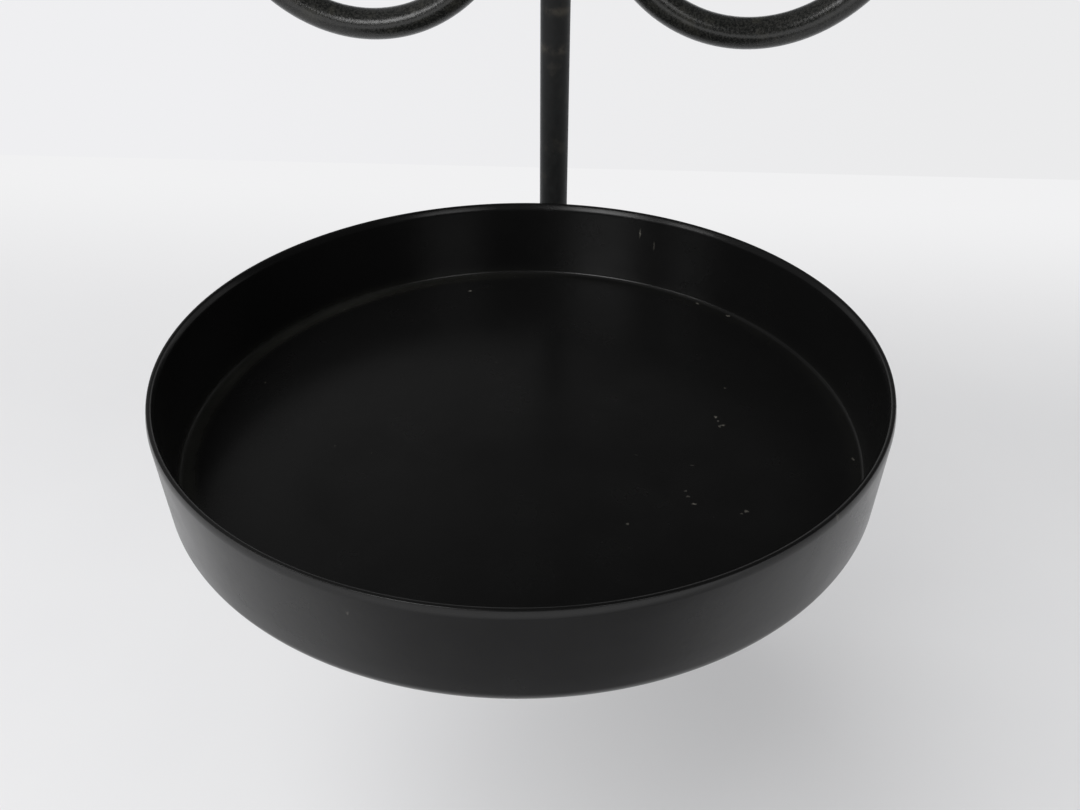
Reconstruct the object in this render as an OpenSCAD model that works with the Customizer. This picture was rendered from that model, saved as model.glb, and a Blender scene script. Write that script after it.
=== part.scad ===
// Wall candle holder: a drawn steel pan on a stem of round bar, with a pair of C-scrolls.
// Millimetres. +Z up, +X right, the wall is the plane y = 0 and the holder stands out towards -Y.
// The origin is the centre of the hanging hole, on the wall.

/* [Pan] */
// Outside diameter of the pan
pan_d = 127; // [90:1:180]
// Height of the pan, from its underside to the top of the lip
pan_h = 18.7; // [14:0.1:35]
// Thickness of the sheet
pan_t = 1.5; // [1:0.1:2.5]
// Inside radius of the drawn corner between floor and wall
pan_corner = 1.3; // [1:0.1:5]
// Angle by which the wall leans out, the draft that lets the pan off its punch
wall_angle = 1.5; // [0.5:0.5:8]

/* [Stem] */
// Diameter of the round bar that the stem and the scrolls are bent from
bar_d = 6.35; // [5:0.05:9]
// Height of the hanging hole above the pan's lip
hang_h = 180; // [175:1:240]
// How far the arm under the pan reaches past the pan's centre
arm_past = 12; // [0:1:30]
// Diameter of the forged eye
eye_d = 13; // [12:0.5:20]
// Thickness of the forged eye
eye_t = 3; // [2:0.5:4.5]
// Diameter of the hanging hole
eye_hole = 5; // [3.5:0.5:6]
// Length of the taper between the round bar and the eye
neck_l = 14; // [8:1:24]

/* [Scrolls] */
// Height of the lower curl's lowest point above the pan's lip, on the bar's centre line
scroll_lift = 37.7; // [25:0.1:60]
// Centre-line radius of the lower curl at its lowest point
low_r = 30.6; // [26:0.2:34]
// How much tighter each bend of the lower curl is than the one before
low_step = 6.6; // [5:0.1:7.2]
// Centre-line radius of the upper curl past its highest point
high_r = 23.4; // [21:0.2:25]
// How much tighter each bend of the upper curl is than the one before
high_step = 5.6; // [4:0.1:6]
// Length of the straight back of the scroll, which lies along the stem
spine_l = 56; // [50:1:70]

/* [Welds] */
// Root gap that each weld bridges
root_gap = 0.1; // [0.05:0.05:0.3]
// Length of a weld run
weld_l = 9; // [6:0.5:12]
// Radius of the weld runs at the pan
weld_r = 1.9; // [1.5:0.1:2.4]
// Radius of the groove welds behind the stem
groove_r = 1.3; // [1:0.1:1.4]

/* [Hidden] */
$fn = 72;
pan_fn = 180;
eps = 0.5;
round_steps = 8;
station_angle = 7.5;
bar_sides = 20;
dome_rings = 3;

// Colours: a satin coat on the pan, a rougher one on the bars
pan_colour = "#1c1c1c";
bar_colour = "#2a2a2a";
weld_colour = "#242424";

// Pan
pan_r = pan_d / 2;
lip_r = pan_t / 2;
corner_out = pan_corner + pan_t;
lip_z = -hang_h;
pan_z = lip_z - pan_h;
// Length of the wall between its corner and its lip, and where that leaves the corner's centre
wall_l = (pan_h - lip_r - corner_out + (corner_out - lip_r) * sin(wall_angle)) / cos(wall_angle);
corner_x = pan_r - lip_r - (corner_out - lip_r) * cos(wall_angle) - wall_l * sin(wall_angle);

// Bars
bar_r = bar_d / 2;
pan_y = -(bar_d + root_gap + pan_r);
// The elbow clears the pan's corner, which the lean of the wall draws back from the stem
elbow_r = root_gap + pan_r - corner_x + bar_r;
arm_z = pan_z - root_gap - bar_r;
arm_l = -pan_y + arm_past - bar_r - elbow_r;
neck_top = eye_d / 4;
neck_r = sqrt(pow(eye_d / 2, 2) - pow(neck_top, 2));
stem_top = -neck_top - neck_l;

// Scroll bends, as [centre-line radius, angle]. Both curls leave the spine in the same way:
// a wide bend first, then each one tighter by a step.
low_first = 50;
low_second = 130;
low_bends = [
    [low_r + low_step, low_first],
    [low_r, low_second],
    [low_r - low_step, 90],
    [low_r - 2 * low_step, 90],
    [low_r - 3 * low_step, 60]
];
high_bends = [
    [high_r + high_step, 90],
    [high_r, 90],
    [high_r - high_step, 90],
    [high_r - 2 * high_step, 90],
    [high_r - 3 * high_step, 60]
];
spine_x = bar_d + root_gap;
// The lowest point lies this far below the start of the lower curl
low_drop = low_r + low_step * sin(low_first);
spine_z = lip_z + scroll_lift + low_drop;

// Welds
// Share of its radius by which a run at the pan lies off the metal that it joins
weld_rise = 0.5;
ripples = 6;
ripple_pitch = (weld_l - 2 * weld_r) / (ripples - 1);
groove_pitch = (weld_l - 2 * groove_r) / (ripples - 1);
groove_inset = 6;

// Where a bend ends, as [x, z, heading], from where it starts. The heading is measured from +Z
// towards +X, and a bend of radius 0 is a straight.
function after_bend(at, bend) =
    bend[0] == 0
    ? [at[0] + bend[1] * sin(at[2]), at[1] + bend[1] * cos(at[2]), at[2]]
    : [
        at[0] + bend[0] * (cos(at[2]) - cos(at[2] + bend[1])),
        at[1] + bend[0] * (sin(at[2] + bend[1]) - sin(at[2])),
        at[2] + bend[1]
    ];

// Stations along a list of bends, a few degrees apart, from a start with heading 0
function stations(bends, at = [0, 0, 0], i = 0) =
    i == len(bends)
    ? [at]
    : let (
        bend = bends[i],
        steps = bend[0] == 0 ? 1 : ceil(bend[1] / station_angle)
    )
    concat(
        [for (k = [0 : steps - 1]) after_bend(at, [bend[0], bend[1] * k / steps])],
        stations(bends, after_bend(at, bend), i + 1)
    );

// Stations of a domed end: [x, z, heading, radius], from the bar's full section to near its pole
function dome_stations(at, way) = [
    for (k = [1 : dome_rings])
        let (turn = 90 * k / (dome_rings + 1))
        [
            at[0] + way * bar_r * sin(turn) * sin(at[2]),
            at[1] + way * bar_r * sin(turn) * cos(at[2]),
            at[2],
            bar_r * cos(turn)
        ]
];

function reversed(list) = [for (i = [len(list) - 1 : -1 : 0]) list[i]];

// Corners of the round section at a station
function section_at(s) = [
    for (k = [0 : bar_sides - 1])
        let (turn = 360 * k / bar_sides)
        [
            s[0] + s[3] * cos(turn) * cos(s[2]),
            s[3] * sin(turn),
            s[1] - s[3] * cos(turn) * sin(s[2])
        ]
];

// Solid round bar through a list of stations, closed by a pole at each end
module swept_bar(list) {
    rings = len(list);
    corner = [for (i = [0 : rings - 1]) [for (k = [0 : bar_sides - 1]) 1 + i * bar_sides + k]];
    polyhedron(
        points = concat(
            [pole(list[dome_rings], -1)],
            [for (s = list) each section_at(s)],
            [pole(list[rings - 1 - dome_rings], 1)]
        ),
        faces = concat(
            [for (k = [0 : bar_sides - 1]) [0, corner[0][(k + 1) % bar_sides], corner[0][k]]],
            [
                for (i = [0 : rings - 2], k = [0 : bar_sides - 1])
                    [corner[i][k], corner[i][(k + 1) % bar_sides], corner[i + 1][(k + 1) % bar_sides]]
            ],
            [
                for (i = [0 : rings - 2], k = [0 : bar_sides - 1])
                    [corner[i][k], corner[i + 1][(k + 1) % bar_sides], corner[i + 1][k]]
            ],
            [
                for (k = [0 : bar_sides - 1])
                    [rings * bar_sides + 1, corner[rings - 1][k], corner[rings - 1][(k + 1) % bar_sides]]
            ]
        )
    );
}

// Tip of a domed end, on the centre line
function pole(s, way) = [s[0] + way * bar_r * sin(s[2]), 0, s[1] + way * bar_r * cos(s[2])];

// Half ball that closes a bar's end
module dome() {
    intersection() {
        sphere(r = bar_r);
        translate([-bar_d, -bar_d, 0])
            cube([2 * bar_d, 2 * bar_d, bar_d]);
    }
}

// Radius of the outside of the pan's wall at a height above its underside
function wall_r(h) = corner_x + (corner_out + (h - corner_out) * sin(wall_angle)) / cos(wall_angle);

// Points along an arc
function arc(centre, r, from, to) = [
    for (k = [0 : round_steps])
        let (turn = from + (to - from) * k / round_steps)
        centre + r * [cos(turn), sin(turn)]
];

// Section of the pan: underside, corner, leaning wall and round lip, then back down inside
module pan_section() {
    polygon(concat(
        [[0, 0]],
        arc([corner_x, corner_out], corner_out, -90, -wall_angle),
        arc([pan_r - lip_r, pan_h - lip_r], lip_r, -wall_angle, 180 - wall_angle),
        arc([corner_x, corner_out], pan_corner, -wall_angle, -90),
        [[0, pan_t]]
    ));
}

module pan() {
    color(pan_colour)
        translate([0, pan_y, pan_z])
            rotate_extrude($fn = pan_fn)
                pan_section();
}

// Lug that the holder hangs by: bar hammered flat on the wall side, drilled, and butt-welded to
// the stem's top with the weld dressed flush
module hanging_eye() {
    color(bar_colour)
        difference() {
            union() {
                rotate([90, 0, 0])
                    cylinder(h = eye_t, d = eye_d);
                neck();
            }
            translate([0, eps, 0])
                rotate([90, 0, 0])
                    cylinder(h = eye_t + 2 * eps, d = eye_hole);
        }
}

// Taper of the eye: a spreading cone between the wall and a slope that thins it
module neck() {
    translate([0, 0, stem_top])
        intersection() {
            translate([0, -bar_r, 0])
                cylinder(h = neck_l, r1 = bar_r, r2 = neck_r);
            rotate([90, 0, 90])
                translate([0, 0, -eye_d])
                    linear_extrude(height = 2 * eye_d)
                        polygon([[0, 0], [0, neck_l], [-eye_t, neck_l], [-bar_d, 0]]);
        }
}

// One bar: the upright, the elbow round the pan's corner and the arm under its floor
module stem() {
    elbow_y = -bar_r - elbow_r;
    elbow_z = arm_z + elbow_r;
    color(bar_colour)
        union() {
            translate([0, -bar_r, elbow_z])
                cylinder(h = stem_top - elbow_z, r = bar_r);
            translate([0, elbow_y, elbow_z])
                rotate([0, 90, 0])
                    rotate_extrude(angle = 90)
                        translate([elbow_r, 0])
                            circle(r = bar_r);
            translate([0, elbow_y, arm_z])
                rotate([90, 0, 0]) {
                    cylinder(h = arm_l, r = bar_r);
                    translate([0, 0, arm_l])
                        dome();
                }
        }
}

// Stations of a whole scroll, from the tip of its lower curl to the tip of its upper one, with
// the origin where the spine starts. The lower curl is bent like the upper one, upside down.
function scroll_stations() =
    let (
        high = stations(concat([[0, spine_l]], high_bends)),
        low = [for (s = stations(low_bends)) [s[0], -s[1], -s[2]]],
        middle = concat(reversed(low), [for (i = [1 : len(high) - 1]) high[i]]),
        end = len(middle) - 1
    )
    concat(
        reversed(dome_stations(middle[0], -1)),
        [for (s = middle) [s[0], s[1], s[2], bar_r]],
        dome_stations(middle[end], 1)
    );

module right_scroll() {
    color(bar_colour)
        translate([spine_x, -bar_r, spine_z])
            swept_bar(scroll_stations());
}

module left_scroll() {
    mirror([1, 0, 0])
        right_scroll();
}

// A weld run laid along +Z, centred, with the ripples of its passes
module weld_run(r, pitch) {
    for (i = [0 : ripples - 1])
        translate([0, 0, (i - (ripples - 1) / 2) * pitch])
            sphere(r = r);
}

// Runs on both sides of the stem, on the outside of the pan's wall
module pan_wall_welds() {
    mid = (corner_out + pan_h - pan_t) / 2;
    mid_z = pan_z + mid;
    color(weld_colour)
        for (side = [-1, 1])
            difference() {
                translate([side * bar_r, -bar_d + weld_r * weld_rise, mid_z])
                    weld_run(weld_r, ripple_pitch);
                translate([0, -bar_r, mid_z - weld_l])
                    cylinder(h = 2 * weld_l, r = bar_r);
                translate([0, pan_y, mid_z - weld_l])
                    cylinder(h = 2 * weld_l, r1 = wall_r(mid - weld_l), r2 = wall_r(mid + weld_l), $fn = pan_fn);
            }
}

// Runs on both sides of the arm, on the pan's underside: one pair at the tip, one by the edge
module arm_welds() {
    tip_y = pan_y - arm_past;
    edge_y = pan_y + corner_x;
    color(weld_colour)
        for (y = [tip_y + weld_l / 2 + bar_r, edge_y - weld_l / 2 - bar_r], side = [-1, 1])
            difference() {
                translate([side * bar_r, y, pan_z - weld_r * weld_rise])
                    rotate([90, 0, 0])
                        weld_run(weld_r, ripple_pitch);
                translate([0, y + weld_l, arm_z])
                    rotate([90, 0, 0])
                        cylinder(h = 2 * weld_l, r = bar_r);
                translate([-bar_d, y - weld_l, pan_z])
                    cube([2 * bar_d, 2 * weld_l, weld_r * 2]);
            }
}

// Runs in the groove behind the stem and the scroll's spine, kept short of the wall
module right_scroll_welds() {
    color(weld_colour)
        for (z = [spine_z + groove_inset, spine_z + spine_l - groove_inset])
            difference() {
                translate([spine_x / 2, -groove_r - root_gap, z])
                    weld_run(groove_r, groove_pitch);
                for (x = [0, spine_x])
                    translate([x, -bar_r, z - weld_l])
                        cylinder(h = 2 * weld_l, r = bar_r);
            }
}

module left_scroll_welds() {
    mirror([1, 0, 0])
        right_scroll_welds();
}

pan();
stem();
hanging_eye();
left_scroll();
right_scroll();
pan_wall_welds();
arm_welds();
left_scroll_welds();
right_scroll_welds();
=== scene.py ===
"""A wall candle holder, dressed for the camera. Metres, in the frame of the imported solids:
+Z up, +X right, the wall is y = 0, and the origin is the hanging hole."""

import math

import bmesh
import bpy
from mathutils import Matrix, Vector, noise


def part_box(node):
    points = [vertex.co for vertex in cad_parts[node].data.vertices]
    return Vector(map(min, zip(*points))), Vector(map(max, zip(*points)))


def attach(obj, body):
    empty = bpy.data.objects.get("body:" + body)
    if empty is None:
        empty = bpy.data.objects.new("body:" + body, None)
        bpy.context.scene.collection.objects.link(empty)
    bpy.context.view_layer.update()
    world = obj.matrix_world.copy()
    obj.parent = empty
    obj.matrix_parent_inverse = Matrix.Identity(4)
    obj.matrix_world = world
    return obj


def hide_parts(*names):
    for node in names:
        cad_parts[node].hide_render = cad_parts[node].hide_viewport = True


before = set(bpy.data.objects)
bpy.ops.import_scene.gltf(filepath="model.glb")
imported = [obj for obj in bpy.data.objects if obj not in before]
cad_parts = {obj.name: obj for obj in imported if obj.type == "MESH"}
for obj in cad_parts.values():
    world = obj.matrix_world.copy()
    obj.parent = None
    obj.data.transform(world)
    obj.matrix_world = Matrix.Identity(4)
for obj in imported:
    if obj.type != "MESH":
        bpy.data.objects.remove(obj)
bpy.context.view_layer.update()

MM = 0.001
UP, BACK = Vector((0, 0, 1)), Vector((0, 1, 0))


def box_mm(node):
    """Lowest and highest corner of a solid, in millimetres."""
    return [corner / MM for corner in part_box(node)]


# Sizes in millimetres, read from the solids so that the visual pieces lie where these do
pan_low, pan_high = box_mm("pan")
stem_low, stem_high = box_mm("stem")

PAN_R = (pan_high.x - pan_low.x) / 2
PAN_Y = (pan_high.y + pan_low.y) / 2
PAN_Z, LIP_Z = pan_low.z, pan_high.z
BAR_R = (stem_high.x - stem_low.x) / 2
ARM_Z = stem_low.z + BAR_R
ARM_TIP_Y = stem_low.y
STEM_TOP = stem_high.z
EYE_R = box_mm("hanging_eye")[1].z

# Sizes in millimetres that the boxes don't give
SHEET = 1.5
CORNER_IN, CORNER_OUT = 0.95, 2.8
WALL_ANGLE = math.radians(1.5)
FLOOR_Z = PAN_Z + SHEET
ELBOW_R = 6.47
EYE_T = 3.0
HOLE_R = 2.5
ROOT_GAP = 0.1

# The pan's lip: its flat, in from the pan's edge, and how far down its two slopes reach
LIP_FLAT_OUTER, LIP_FLAT_INNER = 0.34, 0.95
LIP_SLOPE_OUTSIDE, LIP_SLOPE_INSIDE = 0.8, 1.2


def schedule(radius, step, turns):
    """Bends of a curl as (centre-line radius, degrees). Their radius shrinks by an even step,
    and the second bend has the given one."""
    return [(radius - step * (k - 1), degrees) for k, degrees in enumerate(turns)]


# A scroll: its straight spine beside the stem, and the bends of the curl at each end
SPINE_X, SPINE_Z, SPINE_L = 2 * BAR_R + ROOT_GAP, -106.64, 56.0
LOW_BENDS = schedule(30.6, 6.6, (50, 130, 90, 90, 60))
HIGH_BENDS = schedule(23.4, 5.6, (90, 90, 90, 90, 60))

# Weld runs on the right-hand side: the centre of each, and the way that it faces. The arm has
# one at its tip and one by the pan's edge.
WELD_L = 9.0
PAN_WELD_R, GROOVE_WELD_R = 1.9, 1.3
WELD_RISE = PAN_WELD_R / 2
GROOVE_INSET = 6.0
WALL_WELDS = [(Vector((BAR_R, WELD_RISE - 2 * BAR_R, PAN_Z + 10)), Vector((1, -0.2, 0)))]
ARM_WELDS = [
    (Vector((BAR_R, y, PAN_Z - WELD_RISE)), Vector((1, 0, -0.6))) for y in (-74.27, -17.33)
]
GROOVE_WELDS = [
    (Vector((SPINE_X / 2, -GROOVE_WELD_R - ROOT_GAP, z)), BACK)
    for z in (SPINE_Z + GROOVE_INSET, SPINE_Z + SPINE_L - GROOVE_INSET)
]

# Fineness of the meshes. Vertices nearer to each other than MERGED millimetres become one.
BAR_SIDES = 40
DOME_RINGS = 6
DEGREES_A_STEP = 2.5
PAN_STEPS = 288
EYE_STEPS, EYE_LEVELS = 16, 3
WELD_SIDES, RIPPLE_STEPS = 28, 7
MERGED = 0.002

# Without a seed, noise_vector would make other weld runs each time
noise.seed_set(5)


# Shapes

def edges_in(geom):
    return [part for part in geom if isinstance(part, bmesh.types.BMEdge)]


def verts_in(geom):
    return [part for part in geom if isinstance(part, bmesh.types.BMVert)]


def once(parts):
    """Each part once, in the order that the parts come in, which a set would not keep."""
    return list(dict.fromkeys(parts))


def verts_of(edges):
    return once(vert for edge in edges for vert in edge.verts)


def placed(name, data):
    """A new object in the scene."""
    made = bpy.data.objects.new(name, data)
    bpy.context.scene.collection.objects.link(made)
    return made


def mesh_from(bm, name):
    mesh = bpy.data.meshes.new(name)
    bm.to_mesh(mesh)
    bm.free()
    return mesh


def extruded(bm, ring, move):
    """Extrudes a ring of edges, moves the new one by a matrix, and returns its edges."""
    new = bmesh.ops.extrude_edge_only(bm, edges=ring)["geom"]
    bmesh.ops.transform(bm, matrix=move, verts=verts_in(new))
    return edges_in(new)


def bent(bm, ring, centre, axis, degrees):
    """Spins a ring of edges round a bend, and returns the ring at its end."""
    steps = max(1, round(abs(degrees) / DEGREES_A_STEP))
    made = bmesh.ops.spin(
        bm, geom=ring + verts_of(ring), cent=centre, axis=axis,
        angle=math.radians(degrees), steps=steps,
    )
    return edges_in(made["geom_last"])


def ring_across(bm, at, way, radius=BAR_R, sides=BAR_SIDES):
    """A ring of edges round a point, square to a direction."""
    turn = UP.rotation_difference(Vector(way)).to_matrix().to_4x4()
    made = bmesh.ops.create_circle(
        bm, segments=sides, radius=radius, matrix=Matrix.Translation(at) @ turn
    )
    return once(edge for vert in made["verts"] for edge in vert.link_edges)


def domed(bm, ring, way):
    """Closes a bar's ring with half a ball. Its last ring stays a hair wide and then becomes
    the pole."""
    centre = sum((v.co for v in verts_of(ring)), Vector()) / len(verts_of(ring))
    way = Vector(way).normalized()
    done = 0.0
    for k in range(1, DOME_RINGS + 1):
        turn = math.radians(90 * k / DOME_RINGS)
        before = math.radians(90 * (k - 1) / DOME_RINGS)
        shrink = max(math.cos(turn), 0.001) / math.cos(before)
        rise = BAR_R * (math.sin(turn) - math.sin(before))
        about = Matrix.Translation(centre + way * done)
        move = about @ Matrix.Translation(way * rise)
        move = move @ Matrix.Diagonal((shrink,) * 3 + (1,)) @ about.inverted()
        ring = extruded(bm, ring, move)
        done += rise
    bmesh.ops.pointmerge(bm, verts=verts_of(ring), merge_co=centre + way * BAR_R)


def finished(bm, name, node, material):
    """Turns a bmesh in millimetres into a smooth piece that stands for a solid."""
    bmesh.ops.remove_doubles(bm, verts=bm.verts, dist=MERGED)
    bmesh.ops.recalc_face_normals(bm, faces=bm.faces)
    bmesh.ops.scale(bm, vec=(MM, MM, MM), verts=bm.verts)
    for face in bm.faces:
        face.smooth = True
    piece = placed(name, mesh_from(bm, name))
    piece.data.materials.append(material)
    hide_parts(node)
    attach(piece, "root")
    return piece


def drawn_pan():
    """Section of the sheet as a chain of corners, rounded, then spun about the pan's axis. The
    lip runs into the wall in a slope on both sides."""
    bm = bmesh.new()
    top = LIP_Z - PAN_Z
    lean = math.tan(WALL_ANGLE)

    def outside(height):
        return PAN_R - (top - height) * lean

    def inside(height):
        return outside(height) - SHEET / math.cos(WALL_ANGLE)

    # Points on the flats, a few millimetres from the roundings, that keep them flat in the light
    floor_end, base_end = inside(SHEET) - 4, outside(0) - 6
    low_in, high_in = 5, top - 3
    low_out, high_out = 6, top - 4
    slope_in, slope_out = top - LIP_SLOPE_INSIDE, top - LIP_SLOPE_OUTSIDE

    # Radius and height of each corner, and how far its rounding reaches, with its steps
    section = [
        (0, SHEET, None),
        (floor_end, SHEET, None),
        (inside(SHEET), SHEET, (CORNER_IN, 10)),
        (inside(low_in), low_in, None),
        (inside(high_in), high_in, None),
        (inside(slope_in), slope_in, (0.36, 5)),
        (PAN_R - LIP_FLAT_INNER, top, (0.3, 5)),
        (PAN_R - LIP_FLAT_OUTER, top, (0.12, 4)),
        (outside(slope_out), slope_out, (0.66, 8)),
        (outside(high_out), high_out, None),
        (outside(low_out), low_out, None),
        (outside(0), 0, (CORNER_OUT, 12)),
        (base_end, 0, None),
        (0, 0, None),
    ]
    chain = [bm.verts.new((r, 0, z)) for r, z, rounding in section]
    for a, b in zip(chain, chain[1:]):
        bm.edges.new((a, b))
    for corner, (r, z, rounding) in zip(chain, section):
        if rounding:
            reach, steps = rounding
            bmesh.ops.bevel(
                bm, geom=[corner], offset=reach, offset_type="OFFSET", segments=steps,
                profile=0.5, affect="VERTICES", material=-1,
            )
    bmesh.ops.spin(
        bm, geom=bm.verts[:] + bm.edges[:], cent=(0, 0, 0), axis=(0, 0, 1),
        angle=2 * math.pi, steps=PAN_STEPS, use_merge=True,
    )
    bmesh.ops.translate(bm, vec=(0, PAN_Y, PAN_Z), verts=bm.verts)
    return bm


def bent_stem():
    """The upright bar, its elbow round the pan's corner and the arm below the pan."""
    bm = bmesh.new()
    elbow_z = ARM_Z + ELBOW_R
    start = ring_across(bm, (0, -BAR_R, elbow_z), UP)
    top = extruded(bm, start, Matrix.Translation((0, 0, STEM_TOP - elbow_z)))
    bmesh.ops.contextual_create(bm, geom=top)
    for edge in top:
        edge.smooth = False
    ring = bent(bm, start, (0, -BAR_R - ELBOW_R, elbow_z), (1, 0, 0), -90)
    arm_end = ARM_TIP_Y + BAR_R
    ring = extruded(bm, ring, Matrix.Translation((0, arm_end + BAR_R + ELBOW_R, 0)))
    domed(bm, ring, (0, -1, 0))
    return bm


def curl(bm, ring, at, bends, way):
    """Bends a bar on from a ring. way is 1 for an upward curl and -1 for its mirror image below."""
    x, z = at
    heading = 0.0
    for radius, degrees in bends:
        h = math.radians(heading)
        centre = Vector((x + radius * math.cos(h), -BAR_R, z - way * radius * math.sin(h)))
        ring = bent(bm, ring, centre, (0, 1, 0), way * degrees)
        heading += degrees
        h = math.radians(heading)
        x, z = centre.x - radius * math.cos(h), centre.z + way * radius * math.sin(h)
    domed(bm, ring, (math.sin(h), 0, way * math.cos(h)))


def bent_scroll(side):
    """A C-scroll: the spine beside the stem and a curl at each end. side is 1 for the right."""
    bm = bmesh.new()
    start = ring_across(bm, (SPINE_X, -BAR_R, SPINE_Z), UP)
    top = extruded(bm, start, Matrix.Translation((0, 0, SPINE_L)))
    curl(bm, top, (SPINE_X, SPINE_Z + SPINE_L), HIGH_BENDS, 1)
    curl(bm, start, (SPINE_X, SPINE_Z), LOW_BENDS, -1)
    bmesh.ops.scale(bm, vec=(side, 1, 1), verts=bm.verts)
    return bm


def subdivided_share(sides):
    """Radius that a ring of corners has after subdivision, as a share of the one before."""
    return (4 + 2 * math.cos(2 * math.pi / sides)) / 6


def forged_eye():
    """Cage of a flat ring round the hanging hole that draws out of the bar's round end."""
    bm = bmesh.new()
    tiny = 0.01
    hole, rim = (radius / subdivided_share(EYE_STEPS) for radius in (HOLE_R, EYE_R))
    section = [(hole, 0), (hole, -EYE_T), (rim, -EYE_T), (rim, 0)]
    chain = [bm.verts.new((r, y, 0)) for r, y in section]
    loop = [bm.edges.new((chain[k], chain[(k + 1) % 4])) for k in range(4)]
    bmesh.ops.spin(
        bm, geom=chain + loop, cent=(0, 0, 0), axis=(0, 1, 0),
        angle=2 * math.pi, steps=EYE_STEPS, use_merge=True,
    )
    bmesh.ops.remove_doubles(bm, verts=bm.verts, dist=tiny)

    # The edges round the hole stay crisper than those round the rim
    hole_crease, rim_crease = 0.85, 0.55
    crease = bm.edges.layers.float.new("crease_edge")
    for edge in bm.edges:
        a, b = (vert.co for vert in edge.verts)
        radii = [math.hypot(end.x, end.z) for end in (a, b)]
        if abs(a.y - b.y) < tiny and abs(radii[0] - radii[1]) < tiny:
            edge[crease] = hole_crease if radii[0] < (hole + rim) / 2 else rim_crease

    # The rim's lowest faces make way for a bridge to the bar
    joined = 4
    spread = math.sin(math.pi * joined / EYE_STEPS) * rim
    under = []
    for face in bm.faces:
        middle = face.calc_center_median()
        on_rim = math.hypot(middle.x, middle.z) > rim * 0.95
        if middle.z < 0 and abs(middle.x) < spread and on_rim:
            under.append(face)
    bmesh.ops.delete(bm, geom=under, context="FACES")
    opening = [edge for edge in bm.edges if edge.is_boundary]
    for edge in opening:
        edge[crease] = 0.0
    sides = len(opening)
    foot_r = BAR_R / subdivided_share(sides)
    foot = ring_across(bm, (0, -BAR_R, STEM_TOP), UP, foot_r, sides)
    made = bmesh.ops.bridge_loops(bm, edges=opening + foot)

    # The bridge's edges down the neck drop by more than this, and get cuts across them
    drop = 5
    down = [edge for edge in made["edges"] if abs(edge.verts[0].co.z - edge.verts[1].co.z) > drop]
    bmesh.ops.subdivide_edges(bm, edges=down, cuts=3, use_grid_fill=True)
    for edge in foot:
        edge[crease] = 1.0
        edge.smooth = False
    bmesh.ops.contextual_create(bm, geom=foot)
    return bm


def subdivided(piece):
    """Makes a piece's mesh the subdivision surface of its cage."""
    surface = piece.modifiers.new("smooth", "SUBSURF")
    surface.levels = surface.render_levels = EYE_LEVELS
    evaluated = piece.evaluated_get(bpy.context.evaluated_depsgraph_get())
    piece.data = bpy.data.meshes.new_from_object(evaluated)
    piece.modifiers.clear()


def weld_runs(places, along, radius):
    """Weld runs: each a spindle of overlapping ripples, bowed the way that the torch went, and
    as uneven as a hand-laid bead. Lengths are in millimetres."""
    ripples, dip, spare = 7, 0.13, 0.6
    bow_depth = 0.45
    waver, waver_size = 0.07, 0.9
    next_run = Vector((7.3, 0, 0))

    bm = bmesh.new()
    steps = ripples * RIPPLE_STEPS
    for number, (at, out) in enumerate(places):
        chain = []
        for k in range(steps + 1):
            t = k / steps
            end = math.sqrt(max(0.0, 1 - abs(2 * t - 1) ** 4))
            scallop = 1 - dip * ((t * ripples) % 1.0) ** 2
            chain.append(bm.verts.new((radius * end * scallop, 0, (t - 0.5) * (WELD_L - spare))))
        wire = [bm.edges.new(pair) for pair in zip(chain, chain[1:])]
        before = set(bm.verts) - set(chain)
        bmesh.ops.spin(
            bm, geom=chain + wire, cent=(0, 0, 0), axis=(0, 0, 1),
            angle=2 * math.pi, steps=WELD_SIDES, use_merge=True,
        )
        run = [vert for vert in bm.verts if vert not in before]
        turn = UP.rotation_difference(along).to_matrix().to_4x4()
        outwards = (turn.inverted() @ out).normalized()
        for vert in run:
            across = Vector((vert.co.x, vert.co.y, 0))
            bow = across.dot(outwards) / radius * (1 - abs(2 * vert.co.z / WELD_L) ** 2)
            end_z = vert.co.z + bow_depth * bow
            vert.co.z = max(-WELD_L / 2, min(WELD_L / 2, end_z))
            vert.co += waver * noise.noise_vector(vert.co / waver_size + next_run * number)
        bmesh.ops.transform(bm, matrix=Matrix.Translation(at) @ turn, verts=run)
    return bm


def mirrored(places):
    """The places and facings of weld runs on the other side of the stem."""
    return [tuple(Vector((-v.x, v.y, v.z)) for v in place) for place in places]


# Materials

def linear(code):
    """An sRGB hex colour as linear red, green, blue and alpha."""
    parts = [int(code[k:k + 2], 16) / 255 for k in (1, 3, 5)]
    return [c / 12.92 if c <= 0.04045 else ((c + 0.055) / 1.055) ** 2.4 for c in parts] + [1.0]


def per(size):
    """Scale of a noise whose features are this many millimetres across."""
    return 1 / (size * MM)


def add(tree, kind, sockets=None, **settings):
    """Adds a node with its settings, and gives its sockets values or links them to other nodes."""
    made = tree.nodes.new("ShaderNode" + kind)
    for name, value in settings.items():
        setattr(made, name, value)
    for name, value in (sockets or {}).items():
        if isinstance(value, bpy.types.Node):
            value = next(output for output in value.outputs if output.enabled)
        if isinstance(value, bpy.types.NodeSocket):
            tree.links.new(value, made.inputs[name])
        else:
            made.inputs[name].default_value = value
    return made


# Settings of the nodes that most materials here use
STEP = {"interpolation_type": "SMOOTHSTEP"}
TIMES = {"operation": "MULTIPLY"}
LESS = {"operation": "SUBTRACT"}
LARGER = {"operation": "MAXIMUM"}
OVER = {"data_type": "RGBA"}

BARE_STEEL = linear("#88857d")


def new_material(name):
    material = bpy.data.materials.new(name)
    material.use_nodes = True
    material.node_tree.nodes.clear()
    return material, material.node_tree


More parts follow.
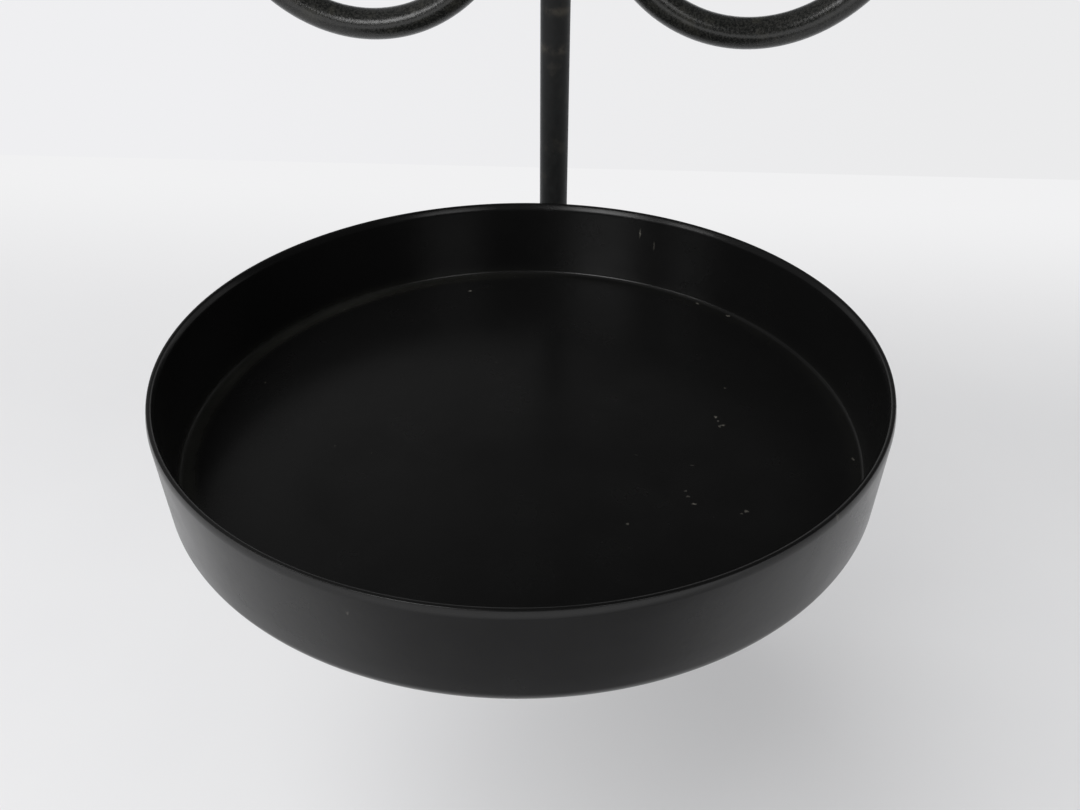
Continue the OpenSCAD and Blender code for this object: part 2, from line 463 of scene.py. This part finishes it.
def uneven(tree, point, layers):
    """Surface normals over waves laid on one another, each of a size and a depth in millimetres."""
    normals = None
    for size, depth in layers:
        waves = add(tree, "TexNoise", {"Vector": point, "Scale": per(size), "Detail": 2.0})
        sockets = {"Height": waves, "Distance": depth * MM, "Strength": 1.0}
        if normals:
            sockets["Normal"] = normals
        normals = add(tree, "Bump", sockets)
    return normals


def near(tree, value, middle, reach):
    """How near a value is to a middle one: 1 there, and 0 from its reach on, in millimetres."""
    off = add(tree, "Math", {0: value, 1: middle * MM}, **LESS)
    off = add(tree, "Math", {0: off}, operation="ABSOLUTE")
    return add(tree, "MapRange", {"Value": off, "From Min": reach * MM, "From Max": 0.0}, **STEP)


def nicks(tree, point, places):
    """How much of the coat is gone at each nick in a list of (x, y, z, length, width, degrees,
    share), in millimetres, with ragged edges: its share in its middle and 0 outside it."""
    ragged_size, ragged_reach, depth = 0.5, 0.8, 1.2
    ragged = add(tree, "TexNoise", {"Vector": point, "Scale": per(ragged_size), "Detail": 2.0})
    shift = add(tree, "VectorMath", {0: ragged.outputs["Color"], 1: (0.5, 0.5, 0.5)}, **LESS)
    shift = add(tree, "VectorMath", {0: shift, "Scale": ragged_reach * MM}, operation="SCALE")
    point = add(tree, "VectorMath", {0: point, 1: shift})
    gone = None
    for x, y, z, length, width, degrees, share in places:
        local = add(tree, "Mapping", {
            "Vector": point, "Location": (x * MM, y * MM, z * MM),
            "Rotation": (0, 0, math.radians(degrees)),
            "Scale": (length * MM / 2, width * MM / 2, depth * MM),
        }, vector_type="TEXTURE")
        away = add(tree, "VectorMath", {0: local}, operation="LENGTH")
        nick = add(tree, "MapRange", {
            "Value": away, "From Min": 1.2, "From Max": 0.3, "To Max": share,
        }, **STEP)
        gone = add(tree, "Math", {0: gone, 1: nick}, **LARGER) if gone else nick
    return gone


def corner_dust(tree, point, handling):
    """Dust as a soft band where the pan's floor meets its wall, more of it to the left."""
    band_r, band_reach = 60.3, 2.6
    thin_z, thick_z = 2.6, 0.4
    thin_x, thick_x = 5, -52
    middle = (0, PAN_Y * MM, FLOOR_Z * MM)
    from_axis = add(tree, "VectorMath", {0: point, 1: middle}, **LESS)
    parts = add(tree, "SeparateXYZ", {0: from_axis})
    flat = add(tree, "VectorMath", {0: from_axis, 1: (1, 1, 0)}, **TIMES)
    radius = add(tree, "VectorMath", {0: flat}, operation="LENGTH")
    ring = near(tree, radius, band_r, band_reach)
    low = add(tree, "MapRange", {
        "Value": parts.outputs["Z"], "From Min": thin_z * MM, "From Max": thick_z * MM,
    }, **STEP)
    leftwards = add(tree, "MapRange", {
        "Value": parts.outputs["X"], "From Min": thin_x * MM, "From Max": thick_x * MM,
        "To Min": 0.15,
    }, **STEP)
    dust = add(tree, "MapRange", {
        "Value": handling, "From Min": 0.3, "From Max": 0.6, "To Min": 0.55,
    }, **STEP)
    for share in (ring, low, leftwards):
        dust = add(tree, "Math", {0: dust, 1: share}, **TIMES)
    return dust


def satin_enamel():
    """Stoving enamel sprayed on drawn sheet steel: nearly black, with a soft wide sheen that
    breaks up a little in the peel of the spray. Dust sits in the corner round the floor and as a
    few specks on it, and candles and cleaning left small pale nicks."""
    material, tree = new_material("satin_black_enamel")
    point = add(tree, "TexCoord").outputs["Object"]
    handling = add(tree, "TexNoise", {
        "Vector": point, "Scale": per(14), "Detail": 4.0, "Roughness": 0.62,
    })
    dust = corner_dust(tree, point, handling)
    specks = add(tree, "TexVoronoi", {"Vector": point, "Scale": per(7)})
    specks = add(tree, "MapRange", {
        "Value": specks, "From Min": 0.03, "From Max": 0.015, "To Max": 0.35,
    }, **STEP)
    some = add(tree, "MapRange", {"Value": handling, "From Min": 0.5, "From Max": 0.56}, **STEP)
    marks = nicks(tree, point, FLOOR_NICKS + WALL_NICKS)

    colour = add(tree, "Mix", {0: handling, 6: linear("#0d0d0d"), 7: linear("#101010")}, **OVER)
    share = add(tree, "Math", {0: dust, 1: 0.42}, **TIMES)
    colour = add(tree, "Mix", {0: share, 6: colour, 7: linear("#31312c")}, **OVER)
    share = add(tree, "Math", {0: specks, 1: some}, **TIMES)
    colour = add(tree, "Mix", {0: share, 6: colour, 7: linear("#6d6a63")}, **OVER)
    colour = add(tree, "Mix", {0: marks, 6: colour, 7: BARE_STEEL}, **OVER)

    rough = add(tree, "MapRange", {
        "Value": handling, "From Min": 0.3, "From Max": 0.7, "To Min": 0.22, "To Max": 0.28,
    }, **STEP)
    spoiled = add(tree, "Math", {0: dust, 1: marks}, **LARGER)
    spoiled = add(tree, "Math", {0: spoiled, 1: 0.75}, **TIMES)
    rough = add(tree, "Math", {0: rough, 1: spoiled}, **LARGER)
    # The peel is 1.6 mm across. The grain of the coat is about 0.1 mm, too fine to show, and is
    # drawn as 0.4 mm. The widest waves come from the drawing of the sheet.
    shader = add(tree, "BsdfPrincipled", {
        "Base Color": colour, "Roughness": rough, "IOR": 1.345,
        "Normal": uneven(tree, point, [(30, 0.06), (1.6, 0.012), (0.4, 0.003)]),
    })
    add(tree, "OutputMaterial", {"Surface": shader})
    return material


def bar_lacquer(
    name, base, worn, roughness, shine, film, grain, grit_depth, scuffs=(), chips=(),
):
    """Black lacquer brushed on bar: duller than the pan's enamel, with the mill scale and dust
    under it showing as a fine grit, and a brownish rub where it was handled. The film of dust
    pales it towards its edges: film is its colour. grain is the size of the grit's spots. Scuffs
    are bands across the bar, as (height, reach), and chips are places, in millimetres."""
    material, tree = new_material(name)
    point = add(tree, "TexCoord").outputs["Object"]
    coat = add(tree, "TexNoise", {"Vector": point, "Scale": per(grain), "Detail": 3.0})
    rub = add(tree, "TexNoise", {
        "Vector": point, "Scale": per(5), "Detail": 5.0, "Roughness": 0.65,
    })
    height = add(tree, "SeparateXYZ", {0: point}).outputs["Z"]
    rubbed = add(tree, "MapRange", {
        "Value": rub, "From Min": 0.52, "From Max": 0.68, "To Max": 0.3,
    }, **STEP)
    patchy = add(tree, "MapRange", {"Value": rub, "From Min": 0.38, "From Max": 0.6}, **STEP)
    for z, reach in scuffs:
        band = add(tree, "Math", {0: near(tree, height, z, reach), 1: patchy}, **TIMES)
        rubbed = add(tree, "Math", {0: rubbed, 1: band}, **LARGER)
    thin = add(tree, "MapRange", {"Value": coat, "From Min": 0.36, "From Max": 0.64}, **STEP)
    colour = add(tree, "Mix", {0: thin, 6: linear(base[0]), 7: linear(base[1])}, **OVER)
    colour = add(tree, "Mix", {0: rubbed, 6: colour, 7: linear(worn)}, **OVER)
    if chips:
        marks = nicks(tree, point, chips)
        colour = add(tree, "Mix", {0: marks, 6: colour, 7: BARE_STEEL}, **OVER)
    rough = add(tree, "MapRange", {
        "Value": coat, "From Min": 0.3, "From Max": 0.7,
        "To Min": roughness[0], "To Max": roughness[1],
    }, **STEP)
    # Waves of the rolled bar, of the brushed coat over it, and of its grit
    shader = add(tree, "BsdfPrincipled", {
        "Base Color": colour, "Roughness": rough, "IOR": 1.45, "Specular IOR Level": shine,
        "Sheen Weight": 0.9, "Sheen Roughness": 0.35, "Sheen Tint": linear(film),
        "Normal": uneven(tree, point, [(9, 0.08), (2.2, 0.02), (0.45, grit_depth)]),
    })
    add(tree, "OutputMaterial", {"Surface": shader})
    return material


# Nicks in millimetres: x, y, z, length, width, degrees and share. Those on the floor of the pan
# count from its axis, and leave out z.
FLOOR_NICKS = [
    (x, PAN_Y + y, FLOOR_Z, length, width, degrees, share)
    for x, y, length, width, degrees, share in (
        (-17.9, 51.0, 1.0, 0.5, 10, 0.5), (-7.9, 20.9, 0.7, 0.4, 0, 0.1),
        (38.3, 15.7, 0.5, 0.45, 0, 0.25), (35.9, 5.6, 0.6, 0.9, 20, 0.35),
        (36.3, 4.3, 0.5, 0.6, 0, 0.2), (37.0, 3.0, 1.1, 0.5, 10, 0.28),
        (36.4, 2.6, 0.5, 0.7, 30, 0.2), (30.9, -9.6, 0.9, 0.3, 0, 0.08),
        (29.6, -16.9, 0.6, 0.6, 30, 0.16), (29.9, -18.3, 0.7, 0.5, 0, 0.14),
        (30.9, -20.1, 0.8, 0.5, 0, 0.35), (39.4, -21.2, 0.9, 0.6, 40, 0.3),
        (38.6, -21.9, 0.7, 0.5, 0, 0.18), (19.9, -26.2, 0.6, 0.6, 0, 0.16),
        (21.0, -7.6, 0.9, 0.3, 0, 0.06), (59.4, -5.1, 0.5, 0.9, 0, 0.2),
        (-26.2, -11.6, 0.5, 0.4, 0, 0.06), (-33.2, -10.1, 0.5, 0.4, 0, 0.06),
        (-44.6, 39.6, 0.5, 0.8, 30, 0.12), (34.3, 50.0, 1.0, 0.5, -30, 0.3),
        (40.7, 45.0, 1.1, 0.5, -35, 0.35),
    )
]
WALL_NICKS = [
    (20.5, PAN_Y + 58.3, -184.5, 0.4, 0.8, 0, 0.4),
    (23.8, PAN_Y + 57.0, -186.6, 0.4, 0.6, 0, 0.15),
    (-16.1, PAN_Y - 61.2, -184.6, 0.35, 0.35, 0, 0.15),
    (48.2, PAN_Y - 41.0, -180.4, 0.6, 0.5, 40, 0.15),
]
CURL_CHIPS = [(-54.6, -3.5, -138.8, 0.7, 1.6, 90, 0.5)]

enamel = satin_enamel()
lacquer = bar_lacquer(
    "matt_black_lacquer", base=("#0f1010", "#171818"), worn="#37342e", roughness=(0.58, 0.70),
    shine=0.3, film="#c6c9cc", grain=1.2, grit_depth=0.016,
    scuffs=[(-138.3, 1.4), (-145.9, 1.6)],
)
grit = bar_lacquer(
    "gritty_black_lacquer", base=("#121312", "#242422"), worn="#3b3a33", roughness=(0.20, 0.30),
    shine=0.5, film="#a4a7aa", grain=0.45, grit_depth=0.030, chips=CURL_CHIPS,
)
weld_coat = bar_lacquer(
    "lacquer_on_weld", base=("#131312", "#1b1a19"), worn="#34302a", roughness=(0.41, 0.52),
    shine=0.5, film="#a4a7aa", grain=1.2, grit_depth=0.012,
)


# Pieces

finished(drawn_pan(), "candle_pan", "pan", enamel)
finished(bent_stem(), "bent_stem", "stem", lacquer)
subdivided(finished(forged_eye(), "forged_eye", "hanging_eye", lacquer))
finished(bent_scroll(1), "scroll_right", "right_scroll", grit)
finished(bent_scroll(-1), "scroll_left", "left_scroll", grit)

beads = [
    ("wall_weld_beads", "pan_wall_welds", WALL_WELDS + mirrored(WALL_WELDS), UP, PAN_WELD_R),
    ("arm_weld_beads", "arm_welds", ARM_WELDS + mirrored(ARM_WELDS), BACK, PAN_WELD_R),
    ("groove_weld_beads_right", "right_scroll_welds", GROOVE_WELDS, UP, GROOVE_WELD_R),
    ("groove_weld_beads_left", "left_scroll_welds", mirrored(GROOVE_WELDS), UP, GROOVE_WELD_R),
]
for name, node, places, along, radius in beads:
    finished(weld_runs(places, along, radius), name, node, weld_coat)


# Stage, in metres: a sheet of pale paper whose far edge is the line behind the holder in the
# picture, four lamps, and the board and room round it

PAPER_Z = -0.319
PAPER_HALF = 4.0
FAR_LEFT, FAR_RIGHT = Vector((-0.394, 0.366, PAPER_Z)), Vector((0.300, 0.3905, PAPER_Z))
HOLDER = (0, -0.07, -0.19)


def pale_paper():
    """Matt paper: even and nearly white, with the slightest mottle. The camera and gloss see its
    far part as bright as the board behind it. Gloss alone sees painted light: a painted dim patch
    below the camera, for the camera's shade, and painted bright paper before that."""
    material, tree = new_material("pale_matt_paper")
    point = add(tree, "TexCoord").outputs["Object"]
    mottle = add(tree, "TexNoise", {"Vector": point, "Scale": per(60), "Detail": 3.0})
    paper_colour = add(tree, "Mix", {
        0: mottle, 6: linear("#e5e5e7"), 7: linear("#e9e9ea"),
    }, **OVER)
    matt = add(tree, "BsdfPrincipled", {"Base Color": paper_colour, "Roughness": 0.9})
    far_light = add(tree, "Emission", {"Color": linear("#f1f1f2")})
    # Painted reflection: a glow of bright paper that only gloss sees
    painted_bright_reflection = add(tree, "Emission", {"Color": linear("#f1f1f2"), "Strength": 1.55})
    # Painted shade for gloss: the dim patch below the camera
    painted_dim_reflection = add(tree, "Emission", {"Color": linear("#acacae")})

    path = add(tree, "LightPath")
    by_gloss = path.outputs["Is Glossy Ray"]
    by_both = add(tree, "Math", {0: path.outputs["Is Camera Ray"], 1: by_gloss}, **LARGER)
    depth = add(tree, "SeparateXYZ", {0: point}).outputs["Y"]
    far = add(tree, "MapRange", {"Value": depth, "From Min": 0.07, "From Max": 0.34}, **STEP)
    front = add(tree, "MapRange", {"Value": depth, "From Min": -0.28, "From Max": -0.40}, **STEP)
    # Where the painted shade patch lies on the paper, below the camera
    from_patch = add(tree, "Mapping", {
        "Vector": point, "Location": (0.07, -0.24, PAPER_Z), "Scale": (0.28, 0.10, 1.0),
    }, vector_type="TEXTURE")
    from_patch = add(tree, "VectorMath", {0: from_patch}, operation="LENGTH")
    patch = add(tree, "MapRange", {"Value": from_patch, "From Min": 1.0, "From Max": 0.3}, **STEP)

    mixed = matt
    for share, seen_by, light in (
        (far, by_both, far_light), (front, by_gloss, painted_bright_reflection), (patch, by_gloss, painted_dim_reflection),
    ):
        share = add(tree, "Math", {0: share, 1: seen_by}, **TIMES)
        mixed = add(tree, "MixShader", {0: share, 1: mixed, 2: light})
    add(tree, "OutputMaterial", {"Surface": mixed})
    return material


def paper_sheet():
    """A square sheet whose far edge runs through the two far points."""
    bm = bmesh.new()
    bmesh.ops.create_grid(bm, x_segments=1, y_segments=1, size=PAPER_HALF)
    turn = math.atan2(FAR_RIGHT.y - FAR_LEFT.y, FAR_RIGHT.x - FAR_LEFT.x)
    bmesh.ops.translate(bm, vec=(0, -PAPER_HALF, 0), verts=bm.verts)
    bmesh.ops.rotate(bm, cent=(0, 0, 0), matrix=Matrix.Rotation(turn, 3, "Z"), verts=bm.verts)
    bmesh.ops.translate(bm, vec=(FAR_LEFT + FAR_RIGHT) / 2, verts=bm.verts)
    return bm


paper = placed("paper_floor", mesh_from(paper_sheet(), "paper_floor"))
paper.data.materials.append(pale_paper())


def softbox(name, at, size, power, glossy=True):
    """A soft lamp, turned to the holder. glossy says whether gloss mirrors it."""
    lamp = bpy.data.lights.new(name, "AREA")
    lamp.shape = "RECTANGLE"
    lamp.size, lamp.size_y = size
    lamp.energy = power
    box = placed(name, lamp)
    box.location = at
    box.rotation_mode = "QUATERNION"
    box.rotation_quaternion = (Vector(HOLDER) - Vector(at)).to_track_quat("-Z", "Y")
    box.visible_glossy = glossy


softbox("front_softbox", (-0.40, -0.94, 0.28), (0.40, 0.36), 3.3)
softbox("left_softbox", (-0.85, -0.62, 0.26), (0.20, 0.20), 0.8)
softbox("right_softbox", (0.55, -0.93, 0.28), (0.35, 0.35), 1.2)
softbox("overhead_softbox", (-0.55, -0.50, 1.20), (1.2, 1.2), 13.6, glossy=False)


def pale_studio():
    """The camera sees pale board behind the holder. Gloss sees that board up to a third of the
    way to overhead, pale paper up to eye level elsewhere, and above both a dim room, lighter to
    the left. Everything else gets an even fill."""
    world = bpy.data.worlds.new("pale_studio")
    world.use_nodes = True
    tree = world.node_tree
    tree.nodes.clear()
    path = add(tree, "LightPath")
    direction = add(tree, "SeparateXYZ", {0: add(tree, "TexCoord").outputs["Generated"]})
    rightwards, backwards, upwards = (direction.outputs[axis] for axis in "XYZ")
    room = add(tree, "MapRange", {
        "Value": rightwards, "From Min": -0.45, "From Max": 0.06, "To Min": 0.29, "To Max": 0.03,
    }, **STEP)
    board_top = add(tree, "MapRange", {
        "Value": backwards, "From Min": 0.2, "From Max": 0.6, "To Max": 0.46,
    }, **STEP)
    height = add(tree, "Math", {0: upwards, 1: board_top}, **LESS)
    above = add(tree, "MapRange", {"Value": height, "From Min": -0.17, "From Max": 0.06}, **STEP)
    gloss = add(tree, "Mix", {0: above, 2: 0.80, 3: room}, data_type="FLOAT")
    # Painted shade: the board that the camera sees is a little darker towards the right
    shade = add(tree, "MapRange", {"Value": rightwards, "From Min": -0.4, "From Max": 0.3})
    board = add(tree, "Mix", {0: shade, 6: linear("#efeff1"), 7: linear("#ebebec")}, **OVER)
    seen = add(tree, "Background", {"Color": board})
    reflected = add(tree, "Background", {"Strength": gloss})
    fill = add(tree, "Background", {"Strength": 0.56})
    mixed = add(tree, "MixShader", {0: path.outputs["Is Glossy Ray"], 1: fill, 2: reflected})
    mixed = add(tree, "MixShader", {0: path.outputs["Is Camera Ray"], 1: mixed, 2: seen})
    add(tree, "OutputWorld", {0: mixed})
    return world


bpy.context.scene.world = pale_studio()

# Camera, from a perspective fit to the pan's outline and floor ring, the stem and the curls
CAMERA_AT = (0.01633, -0.21547, -0.09167)
YAW, PITCH, ROLL = -0.0908, 0.60526, -0.0029
SENSOR_MM, LENS_MM = 36.0, 32.196

lens = bpy.data.cameras.new("camera")
lens.sensor_width, lens.lens = SENSOR_MM, LENS_MM
lens.clip_start, lens.clip_end = 0.01, 20.0
camera = placed("camera", lens)
camera.matrix_world = (
    Matrix.Translation(CAMERA_AT)
    @ Matrix.Rotation(-YAW, 4, "Z")
    @ Matrix.Rotation(math.pi / 2 - PITCH, 4, "X")
    @ Matrix.Rotation(-ROLL, 4, "Z")
)
bpy.context.scene.camera = camera
bpy.context.scene.view_settings.view_transform = "Standard"
